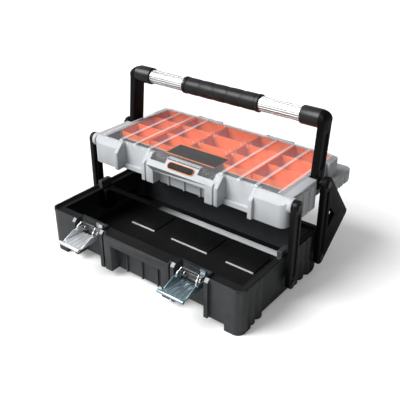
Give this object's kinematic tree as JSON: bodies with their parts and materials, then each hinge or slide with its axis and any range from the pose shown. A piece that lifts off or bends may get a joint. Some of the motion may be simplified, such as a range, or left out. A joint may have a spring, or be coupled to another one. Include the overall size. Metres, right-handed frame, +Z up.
{
  "type": "cantilever tool box",
  "caption": "Open plastic tool box: a dark tub with draw latches, a grey organiser of lift-out bins under a clear lid on a folding linkage, and a folding carrying handle.",
  "frame": {"origin": "on the ground, under the middle of the open box's bounding box", "axes": "+X along the box to its right end, -Y out of the front with the latches, +Z up"},
  "size_m": [0.5966, 0.523, 0.3926],
  "materials": {
    "black_plastic": "fine-grained moulded",
    "grey_plastic": "satin moulded",
    "orange_plastic": "smooth moulded",
    "clear_plastic": "clear polished",
    "card": "matt, bare",
    "badge": "gloss, bare",
    "silver_tube": "anodised, fluted",
    "soft_grip": "matt",
    "zinc_sheet": "zinc plated",
    "steel": "blackened"
  },
  "bodies": {
    "tub_body": {"tub": "black_plastic", "low_pins": "steel", "cross_strip": "grey_plastic", "tower_left": "black_plastic", "tower_right": "black_plastic", "latch_base_left": "zinc_sheet", "latch_base_right": "zinc_sheet", "latch_pin_left": "zinc_sheet", "latch_pin_right": "zinc_sheet"},
    "rear_arms": {"rear_arm_left": "black_plastic", "rear_arm_right": "black_plastic"},
    "front_links": {"front_link_left": "black_plastic", "front_link_right": "black_plastic"},
    "organiser_body": {"organiser": "grey_plastic", "front_top_pins": "steel", "handle_pins": "steel", "lid_pins": "steel", "badge": "badge", "bin_1_1": "orange_plastic", "bin_1_2": "orange_plastic", "bin_1_3": "orange_plastic", "bin_2_1": "orange_plastic", "bin_2_2": "orange_plastic", "bin_2_3": "orange_plastic", "bin_3_1": "orange_plastic", "bin_3_2": "orange_plastic", "bin_3_3": "orange_plastic", "bin_4_1": "orange_plastic", "bin_4_2": "orange_plastic", "bin_4_3": "orange_plastic", "bin_5_1": "orange_plastic", "bin_5_2": "orange_plastic", "bin_5_3": "orange_plastic"},
    "lid_body": {"lid": "clear_plastic", "card": "card"},
    "handle_body": {"handle_post_left": "black_plastic", "handle_post_right": "black_plastic", "handle_tube": "silver_tube", "handle_grip": "soft_grip"},
    "lever_left": {"latch_lever_left": "zinc_sheet"},
    "bail_left": {"latch_bail_left": "zinc_sheet", "latch_hook_left": "zinc_sheet"},
    "lever_right": {"latch_lever_right": "zinc_sheet"},
    "bail_right": {"latch_bail_right": "zinc_sheet", "latch_hook_right": "zinc_sheet"}
  },
  "joints": [
    {"name": "fold", "type": "hinge", "parent": "tub_body", "child": "rear_arms", "pos_m": [0, 0.10149, 0.048], "axis": [1, 0, 0], "range_deg": [0, 50.98]},
    {"name": "front_swing", "type": "hinge", "parent": "tub_body", "child": "front_links", "pos_m": [0, -0.02451, 0.048], "axis": [1, 0, 0], "range_deg": [0, 50.98]},
    {"name": "level", "type": "hinge", "parent": "rear_arms", "child": "organiser_body", "pos_m": [0, 0.10149, 0.234], "axis": [1, 0, 0], "range_deg": [-50.98, 0]},
    {"name": "handle", "type": "hinge", "parent": "organiser_body", "child": "handle_body", "pos_m": [0, 0.10149, 0.234], "axis": [1, 0, 0], "range_deg": [-52, 0]},
    {"name": "lid", "type": "hinge", "parent": "organiser_body", "child": "lid_body", "pos_m": [0, 0.21251, 0.2526], "axis": [-1, 0, 0], "range_deg": [0, 38]},
    {"name": "lever_left", "type": "hinge", "parent": "tub_body", "child": "lever_left", "pos_m": [-0.1495, -0.18351, 0.09], "axis": [1, 0, 0], "range_deg": [0, 78]},
    {"name": "bail_left", "type": "hinge", "parent": "lever_left", "child": "bail_left", "pos_m": [-0.1495, -0.20751, 0.093], "axis": [1, 0, 0], "range_deg": [0, 90]},
    {"name": "lever_right", "type": "hinge", "parent": "tub_body", "child": "lever_right", "pos_m": [0.1495, -0.18351, 0.09], "axis": [1, 0, 0], "range_deg": [0, 78]},
    {"name": "bail_right", "type": "hinge", "parent": "lever_right", "child": "bail_right", "pos_m": [0.1495, -0.20751, 0.093], "axis": [1, 0, 0], "range_deg": [0, 90]}
  ],
  "couplings": [
    {"joint": "front_swing", "follows": "fold", "ratio": 1},
    {"joint": "level", "follows": "fold", "ratio": -1}
  ]
}
